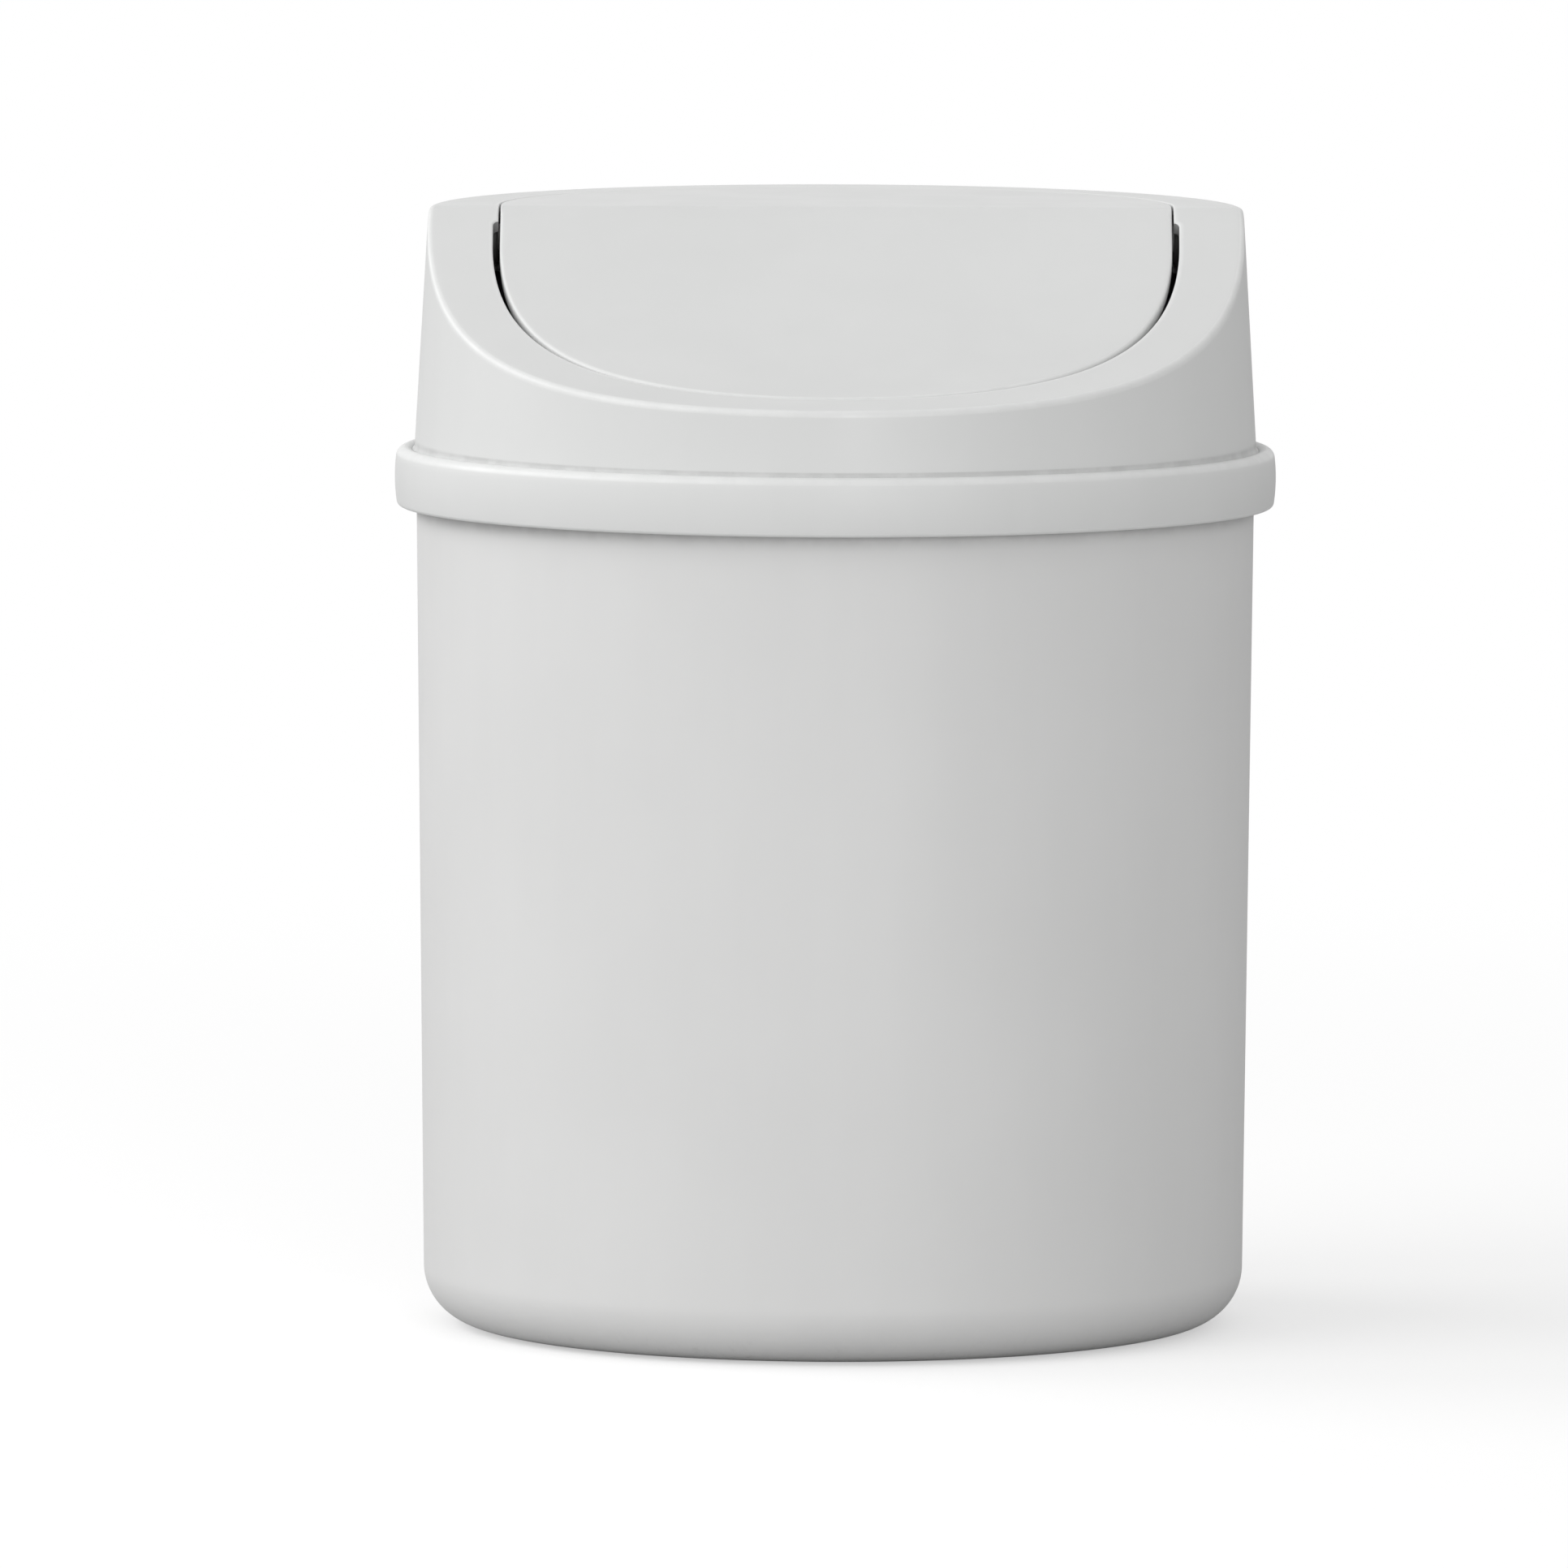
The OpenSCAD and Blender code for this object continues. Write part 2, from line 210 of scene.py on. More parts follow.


# %% [markdown]
# A ring also gives its vertices a number, and the plastic further down reads that number.
# An edge gets a painted highlight and a smoother skin, a hollow or the inside of the skirt
# gets painted shade and a rougher skin, and the cheeks at the pivot get a deep painted
# shade. A piece is shaded smoothly, apart from its sharp edges and from the flat end of a
# form, which is one face with many sides.

# %% Painted light and wear, and a helper that turns a finished bmesh into a piece of the bin
# Values of the layer: a painted highlight on edges, painted shade in hollows, and deep painted shade
# at the pivot cheeks and slit ends.
PAINTED_HIGHLIGHT_AND_RUB = 1.0
PAINTED_SHADE = -1.0
DEEP_PAINTED_SHADE = -2.0
SHARP_DEG = 38
END_SIDES = 12
MERGE = 1e-7


def finish_piece(bm, name, body, node, material):
    """Closes the work on a mesh, shades it, and hangs it on its body in place of its node."""
    bmesh.ops.remove_doubles(bm, verts=bm.verts, dist=MERGE)
    bmesh.ops.recalc_face_normals(bm, faces=bm.faces)
    open_edges = sum(1 for edge in bm.edges if not edge.is_manifold)
    for face in bm.faces:
        face.smooth = len(face.verts) < END_SIDES
    for edge in bm.edges:
        edge.smooth = edge.calc_face_angle(0) < math.radians(SHARP_DEG)
    if bm.verts.layers.float.get("turn"):
        bm.verts.layers.float.remove(bm.verts.layers.float["turn"])
    mesh = bpy.data.meshes.new(name)
    bm.to_mesh(mesh)
    bm.free()
    piece = bpy.data.objects.new(name, mesh)
    scene.collection.objects.link(piece)
    mesh.materials.append(material)
    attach(piece, body)
    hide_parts(node)
    print(name, len(mesh.vertices), "vertices,", open_edges, "open edges")


# %% [markdown]
# ## Moulded plastic
# All the shells are one light grey polypropylene with a satin skin. Up close such a skin
# has three things that a flat colour lacks: very faint clouds where the pigment and the
# wall thickness vary, a fine even grain from the etched mould, and soft waviness where the
# wall shrank as it cooled. Edges get a painted highlight and a smoother skin, hollows and
# the pivot cheeks get painted shade, and faint scuffs lie round the foot. The noise is made
# from Object coordinates and the painted light is held on the vertices, so all of it stays
# with the part when the flap swings.

# %% Material helpers
def add_node(tree, kind, inputs=(), **settings):
    """A node with its settings, and values or links for its input sockets."""
    made = tree.nodes.new(kind)
    for key, value in settings.items():
        setattr(made, key, value)
    for socket, value in dict(inputs).items():
        if isinstance(value, bpy.types.NodeSocket):
            tree.links.new(value, made.inputs[socket])
        else:
            made.inputs[socket].default_value = value
    return made


def noise(tree, coords, scale, detail, roughness=0.5):
    made = add_node(tree, "ShaderNodeTexNoise", {
        "Vector": coords, "Scale": scale, "Detail": detail, "Roughness": roughness,
    })
    return made.outputs["Fac"]


def remap(tree, value, low, high, to_low, to_high):
    made = add_node(tree, "ShaderNodeMapRange", {
        "Value": value, "From Min": low, "From Max": high,
        "To Min": to_low, "To Max": to_high,
    }, interpolation_type="SMOOTHSTEP")
    return made.outputs["Result"]


def times(tree, first, second):
    made = add_node(tree, "ShaderNodeMath", {0: first, 1: second}, operation="MULTIPLY")
    return made.outputs["Value"]


def plus(tree, first, second):
    made = add_node(tree, "ShaderNodeMath", {0: first, 1: second}, operation="ADD")
    return made.outputs["Value"]


def blend_colours(tree, share, first, second):
    made = add_node(tree, "ShaderNodeMix", {0: share, 6: first, 7: second}, data_type="RGBA")
    return made.outputs[2]


def shade(colour, factor):
    """A colour made lighter or darker by a factor."""
    return tuple(channel * factor for channel in colour[:3]) + (1.0,)


# %% Satin polypropylene
CLOUD_SCALE = 26.0
GRAIN_SCALE = 1500.0
WAVE_SCALE = 34.0
# Colour factors: a painted highlight on edges, painted shade in hollows that also serves the scuffs
# at the foot, and deep painted shade at the pivot cheeks.
PAINTED_HIGHLIGHT_FACTOR = 1.08
PAINTED_SHADE_AND_SCUFF_FACTOR = 0.80
DEEP_PAINTED_SHADE_FACTOR = 0.25


def satin_plastic(name, colour, offset, roughness, wear_height=None):
    """Moulded plastic; wear_height is the height below which the foot is scuffed."""
    material = bpy.data.materials.new(name)
    material.use_nodes = True
    tree = material.node_tree
    shader = tree.nodes["Principled BSDF"]
    shader.inputs["IOR"].default_value = 1.49

    coords = add_node(tree, "ShaderNodeTexCoord").outputs["Object"]
    moved = add_node(tree, "ShaderNodeMapping", {"Vector": coords, "Location": offset})
    place = moved.outputs["Vector"]
    streaked = add_node(tree, "ShaderNodeMapping", {
        "Vector": place, "Scale": (1.0, 1.0, 0.12),
    }).outputs["Vector"]

    clouds = remap(tree, noise(tree, place, CLOUD_SCALE, 3.0), 0.3, 0.7, 0.0, 1.0)
    flow = remap(tree, noise(tree, streaked, 160.0, 2.0), 0.3, 0.7, 0.0, 1.0)
    tone = plus(tree, times(tree, clouds, 0.75), times(tree, flow, 0.25))
    base = blend_colours(tree, tone, shade(colour, 0.982), shade(colour, 1.014))

    # The vertex number paints a highlight on edges and paints shade in hollows, under the skirt and
    # at the pivot; near the foot, noise adds darker scuffs.
    light_and_wear_mark = add_node(tree, "ShaderNodeAttribute", attribute_name="light_and_wear").outputs["Fac"]
    patches = remap(tree, noise(tree, place, 240.0, 4.0, 0.6), 0.35, 0.65, 0.6, 1.0)
    highlight_and_rub = times(tree, remap(tree, light_and_wear_mark, 0.0, PAINTED_HIGHLIGHT_AND_RUB, 0.0, 1.0), patches)
    painted_shade_and_scuffs = times(tree, remap(tree, light_and_wear_mark, PAINTED_SHADE, 0.0, 1.0, 0.0), patches)
    if wear_height is not None:
        height = add_node(tree, "ShaderNodeSeparateXYZ", {"Vector": coords}).outputs["Z"]
        near_foot = remap(tree, height, 0.0, wear_height, 0.5, 0.0)
        scuffs = remap(tree, noise(tree, streaked, 520.0, 5.0, 0.7), 0.52, 0.72, 0.0, 1.0)
        painted_shade_and_scuffs = plus(tree, painted_shade_and_scuffs, times(tree, near_foot, scuffs))
    with_painted_highlight = blend_colours(tree, highlight_and_rub, base, shade(colour, PAINTED_HIGHLIGHT_FACTOR))
    with_painted_shade = blend_colours(tree, painted_shade_and_scuffs, with_painted_highlight, shade(colour, PAINTED_SHADE_AND_SCUFF_FACTOR))
    # Deep painted shade for the pivot cheeks and the ends of the slits.
    with_deep_shade = remap(tree, light_and_wear_mark, DEEP_PAINTED_SHADE, PAINTED_SHADE, 1.0, 0.0)
    final = blend_colours(tree, with_deep_shade, with_painted_shade, shade(colour, DEEP_PAINTED_SHADE_FACTOR))
    tree.links.new(final, shader.inputs["Base Color"])

    gloss = remap(
        tree, noise(tree, place, 90.0, 3.0), 0.3, 0.7, roughness - 0.03, roughness + 0.04,
    )
    duller = plus(tree, times(tree, highlight_and_rub, -0.08), times(tree, painted_shade_and_scuffs, 0.10))
    tree.links.new(plus(tree, gloss, duller), shader.inputs["Roughness"])

    wave = add_node(tree, "ShaderNodeBump", {
        "Height": noise(tree, place, WAVE_SCALE, 1.0), "Strength": 0.35, "Distance": 0.0001,
    })
    grain = add_node(tree, "ShaderNodeBump", {
        "Height": noise(tree, place, GRAIN_SCALE, 2.0), "Strength": 0.25,
        "Distance": 0.00002, "Normal": wave.outputs["Normal"],
    })
    tree.links.new(grain.outputs["Normal"], shader.inputs["Normal"])
    print("material", name)
    return material


LIGHT_GREY = (0.685, 0.69, 0.685)
BUCKET_GREY = (0.69, 0.69, 0.686)
cover_plastic = satin_plastic("cover_satin_plastic", LIGHT_GREY, (0.0, 0.0, 0.0), 0.46)
flap_plastic = satin_plastic("flap_satin_plastic", LIGHT_GREY, (0.3, 0.1, 0.2), 0.46)
bucket_plastic = satin_plastic(
    "bucket_satin_plastic", BUCKET_GREY, (0.7, 0.4, 0.1), 0.50, wear_height=0.005,
)
cap_plastic = satin_plastic("cap_satin_plastic", LIGHT_GREY, (0.9, 0.2, 0.6), 0.50)

# %% [markdown]
# ## Bright steel
# The counterweight is a strip of zinc-plated steel, sheared off a rolled bar. Rolling leaves
# fine lines along the strip, so its noise is stretched along X, and it drives both the
# roughness and a shallow bump.

# %% Rolled steel
def rolled_steel(name):
    material = bpy.data.materials.new(name)
    material.use_nodes = True
    tree = material.node_tree
    shader = tree.nodes["Principled BSDF"]
    shader.inputs["Metallic"].default_value = 1.0
    coords = add_node(tree, "ShaderNodeTexCoord").outputs["Object"]
    along = add_node(tree, "ShaderNodeMapping", {"Vector": coords, "Scale": (0.03, 1.0, 1.0)})
    lines = noise(tree, along.outputs["Vector"], 1800.0, 4.0, 0.65)
    clouds = remap(tree, noise(tree, coords, 120.0, 3.0), 0.3, 0.7, 0.0, 1.0)
    colour = blend_colours(tree, clouds, (0.50, 0.51, 0.53, 1.0), (0.60, 0.61, 0.62, 1.0))
    tree.links.new(colour, shader.inputs["Base Color"])
    tree.links.new(remap(tree, lines, 0.3, 0.7, 0.24, 0.42), shader.inputs["Roughness"])
    bump = add_node(tree, "ShaderNodeBump", {
        "Height": lines, "Strength": 0.3, "Distance": 0.00002,
    })
    tree.links.new(bump.outputs["Normal"], shader.inputs["Normal"])
    print("material", name)
    return material


strip_steel = rolled_steel("rolled_zinc_steel")

# %% [markdown]
# ## The bucket
# The bucket is a plain moulded tumbler: a foot ring, a big rounded corner, an almost
# straight wall, and a bead at the rim that the cover drops over. It is the same all the
# way round, so its profile is drawn once as a chain of edges and spun about the Z axis.

# %% Points on an arc
def arc(centre, radius, start_deg, end_deg, steps):
    """Points on an arc in the plane of radius and height, both ends included."""
    points = []
    for step in range(steps + 1):
        angle = math.radians(start_deg + (end_deg - start_deg) * step / steps)
        points.append((
            centre[0] + radius * math.cos(angle),
            centre[1] + radius * math.sin(angle),
        ))
    return points


# %% Bucket profile
BUCKET_R = 61.8
BUCKET_WALL = 1.8
FOOT_R = 60.6
FOOT_CORNER_R = 8.5
FOOT_RING_W = 5.0
FOOT_RECESS = 1.2
FLOOR_T = 2.0
RIM_BEAD = 0.85
RIM_BEAD_H = 3.4
RIM_OUT_R = 0.6
RIM_IN_R = 0.4

foot_centre = (FOOT_R - FOOT_CORNER_R, FOOT_CORNER_R)
ring_in = foot_centre[0] - FOOT_RING_W
recess_r = ring_in - FOOT_RECESS
floor_z = FOOT_RECESS + FLOOR_T
inner_corner_r = FOOT_CORNER_R - BUCKET_WALL
inner_centre = (FOOT_R - BUCKET_WALL - inner_corner_r, floor_z + inner_corner_r)
bead_z = BUCKET_TOP_Z - RIM_BEAD_H
rim_out = BUCKET_R + RIM_BEAD
rim_in = BUCKET_R - BUCKET_WALL
wall_top = bead_z - RIM_BEAD - 0.6


def wall_place(z):
    """A point on the outside of the tapering wall."""
    share = (wall_top - z) / (wall_top - FOOT_CORNER_R)
    return (BUCKET_R - (BUCKET_R - FOOT_R) * share, z)


bucket_profile = (
    [(0.0, FOOT_RECESS), (20.0, FOOT_RECESS), (recess_r - 1.0, FOOT_RECESS)]
    + [(recess_r - 0.25, FOOT_RECESS), (recess_r + 0.15, FOOT_RECESS - 0.15)]
    + [(ring_in - 0.2, 0.2), (ring_in + 0.2, 0.0), (ring_in + 0.8, 0.0)]
    + arc(foot_centre, FOOT_CORNER_R, -90, 0, 24)
    + [wall_place(z) for z in (FOOT_CORNER_R + 20.0, 65.0, bead_z - 20.0, SKIRT_Z - 2.6)]
    + [wall_place(z) for z in (SKIRT_Z - 1.0, SKIRT_Z + 0.4, wall_top)]
    + [(BUCKET_R, bead_z - RIM_BEAD - 0.2)]
    + [(BUCKET_R + 0.12, bead_z - RIM_BEAD + 0.12), (rim_out - 0.15, bead_z - 0.15)]
    + [(rim_out, bead_z + 0.25), (rim_out, bead_z + 0.7)]
    + arc((rim_out - RIM_OUT_R, BUCKET_TOP_Z - RIM_OUT_R), RIM_OUT_R, 0, 90, 6)
    + arc((rim_in + RIM_IN_R, BUCKET_TOP_Z - RIM_IN_R), RIM_IN_R, 90, 180, 4)
    + [(rim_in, BUCKET_TOP_Z - 1.0), (rim_in - 0.2, bead_z - 20.0)]
    + arc(inner_centre, inner_corner_r, 0, -90, 20)
    + [(inner_centre[0] - 1.0, floor_z), (20.0, floor_z), (0.0, floor_z)]
)
print(len(bucket_profile), "points in the bucket's profile")

# %% Spin the profile
SPIN_STEPS = 288
PAINTED_SKIRT_SHADOW = 0.6 * PAINTED_SHADE
bm = bmesh.new()
light_and_wear_layer(bm)
chain = [
    bmesh.ops.create_vert(bm, co=(radius * MM, 0, height * MM))["vert"][0]
    for radius, height in bucket_profile
]
edges = [bm.edges.new(pair) for pair in zip(chain, chain[1:])]
bmesh.ops.spin(
    bm, geom=chain + edges, axis=(0, 0, 1), cent=(0, 0, 0), angle=math.tau,
    steps=SPIN_STEPS, use_merge=True, use_duplicate=False,
)
# A line of painted shadow lies on the wall just under the cover's skirt.
light_and_wear_slot = light_and_wear_layer(bm)
for vert in bm.verts:
    if SKIRT_Z - 1.1 < vert.co.z / MM < SKIRT_Z + 0.5:
        vert[light_and_wear_slot] = PAINTED_SKIRT_SHADOW
finish_piece(bm, "bucket_shell", "bin", "bucket", bucket_plastic)

# %% [markdown]
# ## The top line and the outline of the flap
# Two curves shape the whole lid. Seen from the side, the top line starts low at the front
# lip, sweeps up in a scoop, rolls over a round ridge and runs level to the back. Seen from
# above, the flap's outline has round ends, two short straight sides and large corners
# between them. The cover's mouth is the same outline moved out by its gap: a wide slit
# beside the front half, which starts with a blunt end near the ridge, and a close seam
# round the rear half.

# %% The top line in side view
LIP = Vector((-HOOD_R, DECK_Z - 25.9))
LIP_SLOPE = math.radians(5.6)
RIDGE_SLOPE = math.radians(38.6)
LIP_PULL = 26.4
RIDGE_PULL = 17.5
RIDGE_R = 7.0
RIDGE_BACK = 3.0
ridge_foot = Vector((
    RIDGE_BACK - RIDGE_R * math.sin(RIDGE_SLOPE),
    DECK_Z - RIDGE_R * (1 - math.cos(RIDGE_SLOPE)),
))
lip_handle = LIP + LIP_PULL * Vector((math.cos(LIP_SLOPE), math.sin(LIP_SLOPE)))
ridge_handle = ridge_foot - RIDGE_PULL * Vector((math.cos(RIDGE_SLOPE), math.sin(RIDGE_SLOPE)))
scoop = interpolate_bezier(LIP, lip_handle, ridge_handle, ridge_foot, 600)


def top_height(y):
    """Height of the lid's top surface at a place y, in millimetres."""
    if y >= RIDGE_BACK:
        return DECK_Z
    if y >= ridge_foot.x:
        return DECK_Z - RIDGE_R + math.sqrt(RIDGE_R ** 2 - (y - RIDGE_BACK) ** 2)
    if y <= LIP.x:
        return LIP.y + (y - LIP.x) * math.tan(LIP_SLOPE)
    low, high = 0, len(scoop) - 1
    while high - low > 1:
        middle = (low + high) // 2
        low, high = (middle, high) if scoop[middle].x <= y else (low, middle)
    share = (y - scoop[low].x) / (scoop[high].x - scoop[low].x)
    return scoop[low].y + share * (scoop[high].y - scoop[low].y)


print("lip", round(top_height(-HOOD_R), 2), "middle", round(top_height(0), 2))


# %% The outline in plan
corner_x = FLAP_HALF - CORNER_R
corner_y = math.sqrt((FLAP_R - CORNER_R) ** 2 - corner_x ** 2)


def outline(turn, grow=0.0):
    """Distance from the middle to the flap's outline at an angle, grown by a gap."""
    half = FLAP_HALF + grow
    corner_r = CORNER_R + grow
    across, along = abs(math.cos(turn)), abs(math.sin(turn))
    if along * half <= corner_y * across:
        return half / across
    if along * corner_x >= corner_y * across:
        return FLAP_R + grow
    reach = corner_x * across + corner_y * along
    return reach + math.sqrt(reach ** 2 - corner_x ** 2 - corner_y ** 2 + corner_r ** 2)


FRONT_GAP = 0.6
SLIT_W = 1.1
REAR_GAP = 0.3
SLIT_START = 1.8
SLIT_END = 0.8


def mouth(turn):
    """Distance from the middle to the edge of the mouth."""
    along = -FLAP_R * math.sin(turn) - SLIT_START
    if along <= 0:
        return outline(turn, REAR_GAP)
    slit = SLIT_W + (SLIT_W - FRONT_GAP) * math.sin(turn)
    if along >= SLIT_END:
        return outline(turn, slit)
    open_share = math.sqrt(1 - (1 - along / SLIT_END) ** 2)
    return outline(turn, REAR_GAP + (slit - REAR_GAP) * open_share)


# %% The angles that the lid's rims are cut at
def spread(start_deg, end_deg, step_deg):
    """Evenly spaced angles from the start up to the end, which is left out."""
    count = max(1, round((end_deg - start_deg) / step_deg))
    return [start_deg + (end_deg - start_deg) * index / count for index in range(count)]


# The steps are finest at the blunt end of the slit.
right_turns = (
    spread(-89.1, -10, 1.8) + spread(-10, -3.2, 0.45) + spread(-3.2, -2.86, 0.34)
    + spread(-2.86, -1.94, 0.084) + spread(-1.94, 6, 0.4) + spread(6, 89.1, 1.8) + [89.1]
)
lid_turns = [math.radians(turn) for turn in right_turns]
lid_turns += [math.pi - turn for turn in reversed(lid_turns)]
print(len(lid_turns), "vertices in a rim of the lid")

# %% [markdown]
# ## The cover
# The cover is one moulding: a crowned skirt that hangs over the bucket's rim, a small hollow
# above it, a tapering wall, and a thin top that is cut open for the flap. The rim starts
# at the lower edge of the mouth and is carried once round the whole section: up the
# mouth's wall, out over the deck, over the edge, down the wall, round the skirt and back
# inside. Bridging the last ring to the first closes it into one watertight shell.

# %% Places on the cover
SKIRT_CROWN = 0.35
SKIRT_EDGE_R = 1.4
SKIRT_FOOT_R = 0.7
CREASE = 0.4
FLARE_RUN = 0.4
FLARE_DEG = 50.0
SKIRT_IN_R = SKIRT_R - SKIRT_WALL
crown_half = SKIRT_H / 2
crown_r = (crown_half ** 2 + SKIRT_CROWN ** 2) / (2 * SKIRT_CROWN)


def skirt_edge(radius):
    """Where an edge of the skirt meets its crowned face, in degrees, and its centre's radius."""
    turn = math.asin((crown_half - radius) / (crown_r - radius))
    return math.degrees(turn), SKIRT_R - crown_r + (crown_r - radius) * math.cos(turn)


top_deg, top_centre_r = skirt_edge(SKIRT_EDGE_R)
foot_deg, foot_centre_r = skirt_edge(SKIRT_FOOT_R)
crease_deg = math.degrees(math.acos(1 - CREASE / SKIRT_EDGE_R))
flare_r = FLARE_RUN / (1 - math.cos(math.radians(FLARE_DEG)))
flare_z = BAND_Z - CREASE + flare_r * math.sin(math.radians(FLARE_DEG))
print("crease at radius", round(top_centre_r - SKIRT_EDGE_R * math.sin(math.radians(crease_deg)), 2))
SHELF_Z = BAND_Z - 1.8


def wall_radius(z, inset=0.0):
    """Radius of the hood's tapering wall at a height, or of its inside."""
    share = max(0.0, (z - flare_z) / (DECK_Z - flare_z))
    return HOOD_R - inset - (HOOD_R - DECK_R) * share


def point(radius, turn, z):
    return Vector((radius * math.cos(turn), radius * math.sin(turn), z)) * MM


def on_top(radius_of, drop=0.0):
    """A ring on the lid's top line, or under it by a drop that may depend on the turn."""
    def ring(turn):
        radius = radius_of(turn)
        under = drop(turn) if callable(drop) else drop
        return point(radius, turn, top_height(radius * math.sin(turn)) - under)
    return ring


@functools.lru_cache(maxsize=None)
def hood_edge(turn, inset=0.0, drop=0.0):
    """Radius at which the top line, or its underside, meets the hood's wall."""
    radius = DECK_R
    for _ in range(12):
        radius = wall_radius(top_height(radius * math.sin(turn)) - drop, inset)
    return radius


def hood_wall(below, share=0.0, inset=0.0, drop=0.0):
    """A ring on the hood's wall: below the edge, then that share of the way to the flare."""
    def ring(turn):
        radius = hood_edge(turn, inset, drop)
        z = top_height(radius * math.sin(turn)) - drop - below
        z += (flare_z - z) * share
        return point(wall_radius(z, inset), turn, z)
    return ring


def flat_ring(radius, z):
    return lambda turn: point(radius, turn, z)


# %% Carry the rim round the cover
EDGE_SOFT = 0.8
BACK_UP = 0.5


def seam_soft(turn, front, rear):
    """Softness of an edge at the seam: rounder along the slit than along the rear."""
    y = FLAP_R * math.sin(turn)
    share = min(1.0, max(0.0, 0.5 - y / 2.0))
    return rear + (front - rear) * share * share * (3 - 2 * share)


def lip_soft(turn):
    return seam_soft(turn, 0.35, 0.15)


def flap_soft(turn):
    return seam_soft(turn, 0.5, 0.15)


def deck(share):
    """A ring on the deck, that share of the way from the mouth's edge to the hood's edge."""
    def radius(turn):
        inner = mouth(turn) + lip_soft(turn) + BACK_UP
        outer = hood_edge(turn) - EDGE_SOFT - BACK_UP
        return inner + (outer - inner) * share
    return on_top(radius)


def under_deck(share):
    """A ring under the deck, that share of the way from the hood's wall to the mouth."""
    def radius(turn):
        outer = hood_edge(turn, HOOD_WALL, DECK_T)
        return outer - 0.3 + (mouth(turn) + 0.8 - outer) * share
    return on_top(radius, DECK_T)


bm = bmesh.new()
mouth_bottom = on_top(mouth, DECK_T)
mouth_wall = on_top(mouth, lip_soft)
mouth_deck = on_top(lambda turn: mouth(turn) + lip_soft(turn))
deck_edge = on_top(lambda turn: hood_edge(turn) - EDGE_SOFT)
wall_edge = hood_wall(EDGE_SOFT)

first = start_rim(bm, lid_turns, mouth_bottom)
rim = carry(bm, first, [mouth_wall])
# The blunt end of each slit gets deep painted shade, as dark as the cheek behind it.
light_and_wear_slot = light_and_wear_layer(bm)
for vert in bm.verts:
    if -SLIT_START - SLIT_END - 0.2 < vert.co.y / MM < -SLIT_START + 0.2:
        vert[light_and_wear_slot] = DEEP_PAINTED_SHADE
# The rounded edges of the mouth and of the hood get a painted highlight and a smoother skin.
rim = carry(bm, rim, rounded(mouth_wall, on_top(mouth), mouth_deck, 4) + [mouth_deck], PAINTED_HIGHLIGHT_AND_RUB)
rim = carry(bm, rim, [deck(step / 7) for step in range(8)] + [deck_edge])
rim = carry(bm, rim, rounded(deck_edge, on_top(hood_edge), wall_edge, 6) + [wall_edge], PAINTED_HIGHLIGHT_AND_RUB)
rim = carry(bm, rim, [hood_wall(EDGE_SOFT, share) for share in (0.03, 0.2, 0.4, 0.6, 0.8, 0.97)])

# The hollow above the band and the inside of the skirt get painted shade; the band's upper and lower
# edges get a painted highlight.
skirt_parts = [
    (arc((HOOD_R + flare_r, flare_z), flare_r, 180, 180 + FLARE_DEG, 6), PAINTED_SHADE),
    (arc((top_centre_r, BAND_Z - SKIRT_EDGE_R), SKIRT_EDGE_R, 90 + crease_deg, 90, 6)[1:], 0.0),
    (arc((top_centre_r, BAND_Z - SKIRT_EDGE_R), SKIRT_EDGE_R, 90, top_deg, 10)[1:-2], PAINTED_HIGHLIGHT_AND_RUB),
    (arc((SKIRT_R - crown_r, BAND_Z - crown_half), crown_r, top_deg, -foot_deg, 12), 0.0),
    (arc((foot_centre_r, SKIRT_Z + SKIRT_FOOT_R), SKIRT_FOOT_R, -foot_deg, -60, 6)[1:], PAINTED_HIGHLIGHT_AND_RUB),
    (arc((foot_centre_r, SKIRT_Z + SKIRT_FOOT_R), SKIRT_FOOT_R, -60, -90, 3)[1:], 0.0),
    ([(SKIRT_IN_R + 0.25, SKIRT_Z), (SKIRT_IN_R + 0.08, SKIRT_Z + 0.08)], 0.0),
    ([(SKIRT_IN_R, SKIRT_Z + 0.3), (SKIRT_IN_R, SHELF_Z - 0.3), (SKIRT_IN_R - 0.3, SHELF_Z)], PAINTED_SHADE),
    ([(HOOD_R - HOOD_WALL + 0.3, SHELF_Z), (HOOD_R - HOOD_WALL, SHELF_Z + 0.3)], 0.0),
]
for places, light_and_wear in skirt_parts:
    rim = carry(bm, rim, [flat_ring(radius, z) for radius, z in places], light_and_wear)
rim = carry(bm, rim, [
    hood_wall(0.3, share, HOOD_WALL, DECK_T) for share in (0.97, 0.75, 0.5, 0.25, 0.0)
])
rim = carry(bm, rim, [under_deck(share) for share in (0.0, 0.35, 0.7, 1.0)])
bmesh.ops.bridge_loops(bm, edges=first + rim)
print("cover shell:", len(bm.faces), "faces")

# %% [markdown]
# ## Inside the cover: ledge, cheeks and stops
# The rear half of the flap lies on a narrow ledge under the deck. Each side of the mouth has
# a cheek with a bore for the flap's pivot stub, a rib that ties it to the wall, and a
# stop for the toe of the flap's ear. They are small closed shells whose roots run into the
# deck, as they do where a mould fills them through it.

# %% The ledge
LEDGE_W = 3.2
LEDGE_ROOT = 1.6
LEDGE_TOP = DECK_Z - FLAP_T - 0.15
LEDGE_BOTTOM = LEDGE_TOP - 1.6
ROOT_Z = DECK_Z - DECK_T + 0.4


def ledge_ring(grow, z):
    return lambda turn: point(outline(turn, grow), turn, z)


